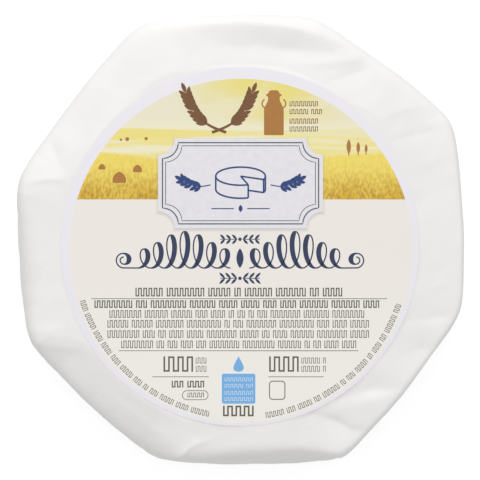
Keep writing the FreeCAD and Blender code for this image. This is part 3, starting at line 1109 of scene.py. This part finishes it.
def bent_stem(start, reach, bow, stations):
    """A stem from start to start + reach, bent aside on the way: along it, the bow sin(pi t)."""
    t = np.linspace(0, 1, stations)[:, None]
    return start + t * reach + np.sin(math.pi * t) * bow


def mirrored(path, about=0.0):
    """The same path on the other side of an upright line."""
    return path * [-1, 1] + [2 * about, 0]


# %% Two sprigs and a divider under the wheel
plaque_stem = bent_stem(PLAQUE_CENTRE + [7.6, -0.4], [7.2, 1.2], [0, -0.9], 30)
for stem in (plaque_stem, mirrored(plaque_stem, PLAQUE_CENTRE[0])):
    blue_shapes.append(stroke(stem, 0.28, layer=2))
    blue_shapes += sprig(stem, 5, 2.2, 0.95, 38, layer=2)
for side in (-1, 1):
    near, far = sorted([side * 1.7, side * 7.4])
    blue_shapes.append(boxes([(near + 0.15, far + 0.15, 9.55, 9.8)], layer=2))
blue_shapes.append(leaf((0.15, 8.8), (0.15, 10.6), 1.0, layer=2))
print_ink("deep_blue", blue_shapes, srgb(30, 62, 122))

# %% The plaque's two lines
FRAME_LINES = [  # inset, how much smaller the bite is, and the line's width
    (1.1, 0.2, 0.3),
    (1.9, 0.1, 0.18),
]
frame_shapes = [
    stroke(ticket(inset, BITE - smaller), width, layer=2, closed=True)
    for inset, smaller, width in FRAME_LINES
]
print_ink("frame_grey", frame_shapes, srgb(84, 86, 100))

# %% [markdown]
# ## The title's flourish
#
# In the title's place is a symmetrical pen flourish. It could be drawn point by point, but a pen
# that runs along while it circles draws a chain of loops by itself. A broad nib makes each stroke
# thick on the way down, and thin along the line and on the way up. The chain ends in a curl.


# %% Flourish
def nib(path, thin, thick):
    """Stroke width by direction: thick on the way down, thin along the line and on the way up."""
    step = np.gradient(path, axis=0)
    fall = np.maximum(0, -step[:, 1] / np.linalg.norm(step, axis=1))
    return thin + (thick - thin) * fall**1.5


# %% A chain of loops
LOOP_STEPS = 44
CURL_STEPS = 70
CURL_TURNS = 1.5
CURL_TIGHTENS = 0.7  # share of its radius that the curl loses on the way in


def loop_chain(start, end, base, loops, low_height, high_height, swing, curl):
    """Loops along a line, then a short run and a curl.

    Across, the pen is at start + run t + swing sin(2 pi n t), and up at base + h (1 - cos(2 pi n
    t)) / 2, where h swells from the low height to the high one and back. The curl is a spiral whose
    radius shrinks evenly with its angle.
    """
    t = np.linspace(0, 1, LOOP_STEPS * loops)
    turn = 2 * math.pi * loops * t
    height = low_height + (high_height - low_height) * np.sin(math.pi * t) ** 2
    across = start + (end - start) * t + swing * np.sin(turn)
    chain = np.stack([across, base + height * (1 - np.cos(turn)) / 2], axis=-1)
    share = np.linspace(0, 1, CURL_STEPS)[1:]
    angle = -math.pi / 2 + 2 * math.pi * CURL_TURNS * share
    radius = curl * (1 - CURL_TIGHTENS * share)
    centre = chain[-1] + [2 * swing, curl]
    return np.vstack([chain, centre + radius[:, None] * on_circle(angle)])


title_path = loop_chain(
    start=2.4, end=26.0, base=-5.4, loops=7, low_height=4.6, high_height=9.2, swing=1.75, curl=2.1
)
navy_shapes = [stroke(side, nib(side, 0.34, 1.25)) for side in (title_path, mirrored(title_path))]
navy_shapes.append(leaf((0, -5.4), (0, -0.4), 1.8))
print(len(title_path), "stations on each half of the flourish")

# %% [markdown]
# ## Small sprays
#
# Over and under the flourish lies a small spray of leaves, the same to the left and to the right of
# a dot. Leaves of one size on a straight stem are enough at this scale, so two loops place them.

# %% Small sprays of leaves
DOT = 0.45  # radius
SPRAY_STEM = 0.18  # thickness

for height, length in [(1.9, 2.0), (-8.0, 2.4)]:
    navy_shapes.append(spot((0, height), DOT))
    for side in (-1, 1):
        for at in (0.8, 2.3, 3.8):
            for rise in (-0.75, 0.75):
                root = (side * at, height)
                tip = (side * (at + 0.6 * length), height + rise * length * 0.8)
                navy_shapes.append(leaf(root, tip, 0.62))
        near, far = sorted([side * 0.7, side * 5.0])
        low, high = height - SPRAY_STEM / 2, height + SPRAY_STEM / 2
        navy_shapes.append(boxes([(near, far, low, high)]))
print_ink("navy", navy_shapes, srgb(34, 50, 84))

# %% [markdown]
# ## Crossed ears of wheat
#
# Two ears of wheat stand crossed in the sky, with a few short rows further right. An ear is a sprig
# on a longer, bent stem, so the function that made the plaque's sprigs makes the ears too.

# %% Wheat ears
EARS_FOOT = np.array([-5.3, 29.0])
ear_stem = bent_stem(EARS_FOOT + [-1.8, 0], [10.2, 10.0], [1.3, -1.6], 40)
brown_shapes = []
for stem in (ear_stem, mirrored(ear_stem, EARS_FOOT[0])):
    brown_shapes.append(stroke(stem, np.linspace(0.75, 0.3, len(stem))))
    brown_shapes += sprig(stem, 8, 2.9, 1.05, 30)
brown_rows = [
    type_row(12.6, 20.8, top - 1.25, top, seed, pitch=0.5, pen=0.17)
    for seed, top in enumerate((36.9, 34.9, 32.5, 30.5))
]
brown_shapes.append(ink_words(brown_rows))
print_ink("brown", brown_shapes, srgb(120, 80, 46))

# %% [markdown]
# ## Churn, poplars, bushes and haystacks
#
# A milk churn stands beside the ears, and poplars, bushes and haystacks stand in the landscape. The
# churn and a haystack are each one upright stroke whose width follows a profile, as a turner would
# draw them. What grows on a hill reads its ground from the same sines that colour the hill.

# %% Churn
CHURN_FOOT = np.array([8.6, 28.3])
CHURN_HEIGHT = 11.4
HANDLE_ASIDE, HANDLE_UP = 2.0, 8.0  # where a handle's middle is, from the foot
HANDLE_TURN = 1.2  # radians that its bow runs up and down
HANDLE_TALLER = 1.1  # how much taller than round it is
HANDLE_WIDTH = 0.35
churn_profile = np.array([  # share of the height, and width in millimetres
    (0.00, 4.6),
    (0.02, 5.0),
    (0.56, 5.0),
    (0.60, 4.9),
    (0.68, 4.0),
    (0.76, 3.1),
    (0.82, 2.9),
    (0.86, 3.1),
    (0.88, 3.9),
    (0.91, 3.9),
    (0.92, 3.0),
    (0.98, 2.4),
    (1.00, 1.4),
])
churn_path = CHURN_FOOT + churn_profile[:, :1] * [0, CHURN_HEIGHT]
ochre_shapes = [stroke(churn_path, churn_profile[:, 1])]
for side in (-1, 1):
    bow = on_circle(np.linspace(-HANDLE_TURN, HANDLE_TURN, 14)) * [side, HANDLE_TALLER]
    handle = CHURN_FOOT + [side * HANDLE_ASIDE, HANDLE_UP] + bow
    ochre_shapes.append(stroke(handle, HANDLE_WIDTH))
print("churn", CHURN_HEIGHT, "mm tall")


# %% Poplars, bushes and haystacks
def hill_height(across, hills):
    """Height of a row of hills: the same two sines as in the label's finish."""
    height, swell, per_mm, phase = hills
    slow = math.sin(across * per_mm + phase)
    return height + swell * (slow + 0.7 * math.sin(across * per_mm * 0.43 + phase * 1.7))


poplars = [(27.6, 4.2), (30.0, 3.4), (32.0, 2.7)]  # place across, and height
bushes = [(-23.8, 0.42), (-28.6, 0.5), (-30.2, 0.32)]  # place across, and radius
haystacks = [(-30.6, 16.2, 1.5), (-26.0, 18.9, 1.0), (-35.0, 19.6, 0.75)]  # across, foot and size
for across, tall in poplars:
    ground = hill_height(across, FIELD_HILLS) - 0.3
    ochre_shapes.append(leaf((across, ground + 0.5), (across, ground + tall), 0.27 * tall))
    ochre_shapes.append(boxes([(across - 0.12, across + 0.12, ground, ground + 0.9)]))
for across, crown in bushes:
    ground = hill_height(across, RISE_HILLS) - 0.1
    ochre_shapes.append(spot((across, ground + 0.5 * crown), crown))
stack_profile = np.array([  # share of the height, and width at size 1
    (0.0, 2.0),
    (0.12, 2.3),
    (0.45, 2.2),
    (0.7, 1.7),
    (0.88, 1.0),
    (1.0, 0.1),
])
for across, foot, size in haystacks:
    stack_path = np.array([across, foot]) + stack_profile[:, :1] * [0, 1.9 * size]
    ochre_shapes.append(stroke(stack_path, stack_profile[:, 1] * size))
print_ink("ochre", ochre_shapes, srgb(178, 122, 56))

# %% [markdown]
# ## The blue seal
#
# Low on the label is a small blue panel with four pale rows, and over it a drop. The panel is one
# ribbon from its foot to its head, and the drop is an upright stroke that swells low down.

# %% Seal
SEAL_CORNER = 0.5
DROP_FOOT = np.array([-0.35, -31.7])
DROP_HEIGHT = 3.9
DROP_WIDTH = 2.6

seal_outline = rounded_box(-4.6, 3.9, -39.8, -32.2, SEAL_CORNER)
corner_steps = len(seal_outline) // 4
seal_right = np.vstack([seal_outline[3 * corner_steps:], seal_outline[:corner_steps]])
seal_left = seal_outline[corner_steps:3 * corner_steps][::-1]
t = np.linspace(LEAF_TIP, 1 - LEAF_TIP, 24)
drop_path = DROP_FOOT + t[:, None] * [0, DROP_HEIGHT]
drop = stroke(drop_path, DROP_WIDTH * np.sin(math.pi * np.sqrt(t)))
blue_seal = [ribbon_solids(seal_left[None], seal_right[None]), drop]
print_ink("light_blue", blue_seal, srgb(122, 184, 238))

# %% Rows on the seal
seal_rows = [
    type_row(-3.9, 3.2, top - 0.9, top, seed, pitch=0.5, pen=0.16)
    for seed, top in enumerate((-33.2, -34.8, -36.6, -38.2))
]
print_ink("pale", [ink_words(seal_rows, layer=2)], srgb(215, 232, 248))

# %% [markdown]
# ## The floor
#
# The pack lies on a white table. Bright lamps could make the floor white, but they would wash out
# the paper too. So the floor shines by itself where the camera sees it, and still takes the shadow.

# %% Floor
FLOOR_HALF = 1.5  # metres
FLOOR_GREY = (0.5, 0.5, 0.5, 1)
FLOOR_GLOW = (0.68, 0.68, 0.68, 1)  # what the camera sees on top of the lit grey
NO_GLOW = (0, 0, 0, 1)
FLOOR_TOP = -0.05 * MM  # a hair under the pack, so that the two flat faces don't fall together
floor_mesh = bpy.data.meshes.new("floor")
floor_signs = [(-1, -1), (1, -1), (1, 1), (-1, 1)]
floor_corners = [(a * FLOOR_HALF, b * FLOOR_HALF, FLOOR_TOP) for a, b in floor_signs]
floor_mesh.from_pydata(floor_corners, [], [(0, 1, 2, 3)])
floor = bpy.data.objects.new("floor", floor_mesh)
bpy.context.scene.collection.objects.link(floor)

white = Finish("floor_white", roughness=0.8)
white.shader.inputs["Base Color"].default_value = FLOOR_GREY
white.shader.inputs["Emission Strength"].default_value = 1.0
white.feed("Emission Color", white.mix(white.seen_directly(), NO_GLOW, FLOOR_GLOW))
floor_mesh.materials.append(white.material)
print("floor", 2 * FLOOR_HALF, "m wide")

# %% [markdown]
# ## The light
#
# Most of the light comes from all round, as in a white tent. That alone would leave no shading, so
# one wide soft lamp shows the folds. It stands beyond the top of the label, a little to the left.

# %% World and lamp
WORLD_LIGHT = 0.69  # strength on the pack
WORLD_SEEN = 1.05  # and where the camera sees past the floor
LAMP_PLACE = (-0.068, 0.774, 0.545)  # metres
LAMP_TURN = (-55, 0, 5)  # degrees
LAMP_WIDTH = 0.9  # metres
LAMP_WATTS = 4.4
world = bpy.data.worlds.new("studio")
bpy.context.scene.world = world
world.use_nodes = True
studio = Graph(world.node_tree)
background = world.node_tree.nodes["Background"]
background.inputs["Color"].default_value = (1, 1, 1, 1)
level = studio.seen_directly() * (WORLD_SEEN - WORLD_LIGHT) + WORLD_LIGHT
studio.links.new(level.socket, background.inputs["Strength"])

lamp_data = bpy.data.lights.new("soft_lamp", "AREA")
lamp_data.shape = "DISK"
lamp_data.size = LAMP_WIDTH
lamp_data.energy = LAMP_WATTS
lamp = bpy.data.objects.new("soft_lamp", lamp_data)
lamp.location = LAMP_PLACE
lamp.rotation_euler = [math.radians(turn) for turn in LAMP_TURN]
bpy.context.scene.collection.objects.link(lamp)
print("lamp", LAMP_WATTS, "watts, world", WORLD_LIGHT)

# %% [markdown]
# ## The camera
#
# The camera looks straight down on the label. A short lens would draw the top too large against the
# widest line, which lies lower, so the lens is very long and the camera far away.

# %% Camera
VIEW_WIDTH = 122.4  # millimetres across the view, at the pack's middle height
LENS = 600.0
SENSOR = 36.0
AIM = (0.115, -0.09)  # where the view's middle falls, in millimetres
camera_data = bpy.data.cameras.new("camera")
camera_data.lens = LENS
camera_data.sensor_width = SENSOR
camera = bpy.data.objects.new("camera", camera_data)
camera_height = VIEW_WIDTH * LENS / SENSOR + PACK_HEIGHT / 2
camera.location = (AIM[0] * MM, AIM[1] * MM, camera_height * MM)
camera_data.clip_end = 10.0
bpy.context.scene.collection.objects.link(camera)
bpy.context.scene.camera = camera
bpy.context.scene.view_settings.view_transform = "Standard"
print("camera", round(camera_height * MM, 3), "m up")
